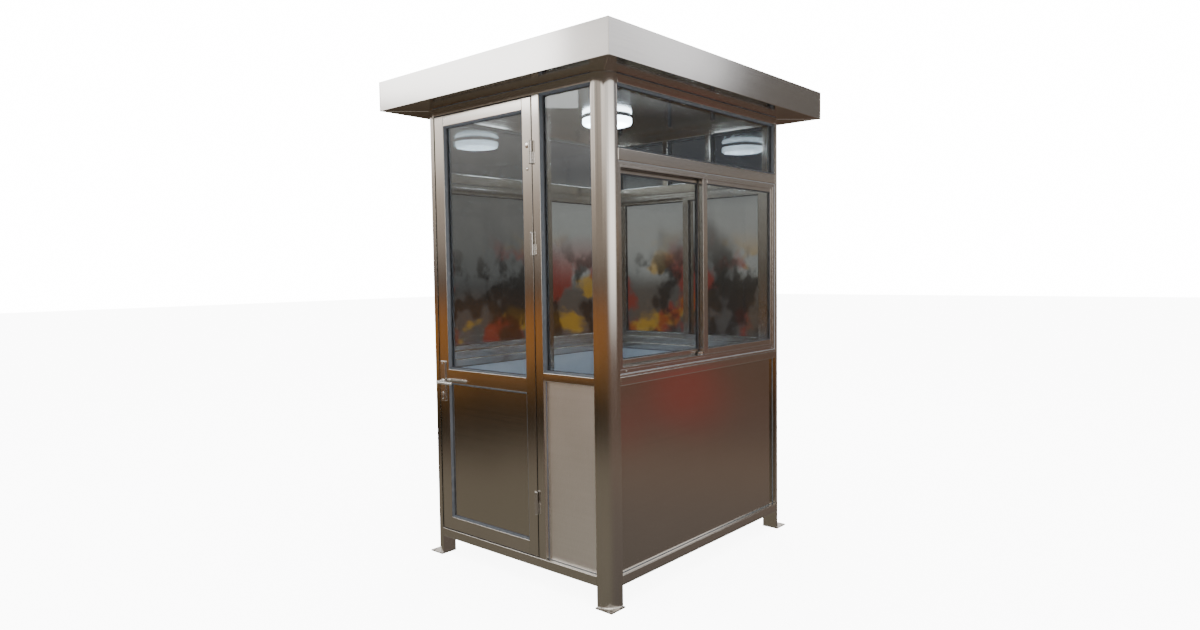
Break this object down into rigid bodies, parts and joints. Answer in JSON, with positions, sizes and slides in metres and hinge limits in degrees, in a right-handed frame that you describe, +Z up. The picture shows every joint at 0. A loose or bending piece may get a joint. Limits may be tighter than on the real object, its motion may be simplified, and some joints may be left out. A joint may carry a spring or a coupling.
{
  "type": "security guard booth",
  "caption": "Free-standing stainless steel guard booth with a glazed hinged door, sliding windows, transom glass, a flat overhanging roof and quarter-round corner posts.",
  "frame": {"origin": "centre of the booth's footprint on the ground, at the underside of the base plates", "axes": "+Z up, -Y towards the side with the door, +X towards the service window's side, the door's hinges on the +X side of the doorway"},
  "size_m": [1.524, 1.814, 2.426],
  "materials": {
    "frame_steel": "brushed stainless, grain along each member",
    "panel_sheet": "brushed stainless sheet outside, pale blue-grey sheet inside",
    "roof_sheeting": "smooth bright stainless sheet",
    "window_steel": "brushed stainless window sections",
    "pane_glass": "clear float glass",
    "deck": "dark plain floor sheet",
    "lamp_diffuser": "opal diffuser, lit cool white",
    "hardware": "satin stainless hinges, handle plates and lever"
  },
  "bodies": {
    "root": {"post_front_left": "frame_steel", "post_front_right": "frame_steel", "post_back_left": "frame_steel", "post_back_right": "frame_steel", "base_plates": "frame_steel", "bottom_rails": "frame_steel", "floor_bearers": "frame_steel", "floor_deck": "deck", "sill_rails": "frame_steel", "transom_rails": "frame_steel", "header_rails": "frame_steel", "door_mullion": "frame_steel", "door_stops": "frame_steel", "side_light_panel": "panel_sheet", "side_light_glass": "pane_glass", "right_panel": "panel_sheet", "right_window_frame": "window_steel", "right_outer_sash": "window_steel", "right_inner_sash": "window_steel", "right_sash_glass": "pane_glass", "right_transom_glass": "pane_glass", "back_panel": "panel_sheet", "back_window_frame": "window_steel", "back_outer_sash": "window_steel", "back_inner_sash": "window_steel", "back_sash_glass": "pane_glass", "back_transom_glass": "pane_glass", "left_panel": "panel_sheet", "left_window_frame": "window_steel", "left_outer_sash": "window_steel", "left_inner_sash": "window_steel", "left_sash_glass": "pane_glass", "left_transom_glass": "pane_glass", "soffit": "roof_sheeting", "ceiling": "roof_sheeting", "fascia": "frame_steel", "roof_sheet": "roof_sheeting", "ceiling_lamp": "lamp_diffuser", "frame_hinges": "hardware"},
    "door": {"door_frame": "frame_steel", "door_panel": "panel_sheet", "door_glass": "pane_glass", "door_hinges": "hardware", "handle_plates": "hardware"},
    "lever": {"lever": "hardware"}
  },
  "joints": [
    {"name": "door_hinge", "type": "hinge", "parent": "root", "child": "door", "pos_m": [0.1755, -0.7635, 1.2], "axis": [0, 0, 1], "range_deg": [0, 170]},
    {"name": "lever_turn", "type": "hinge", "parent": "door", "child": "lever", "pos_m": [-0.4925, -0.7325, 0.905], "axis": [0, 1, 0], "range_deg": [0, 40], "stiffness_Nm_per_rad": 1.5, "springref_deg": -28.65}
  ]
}
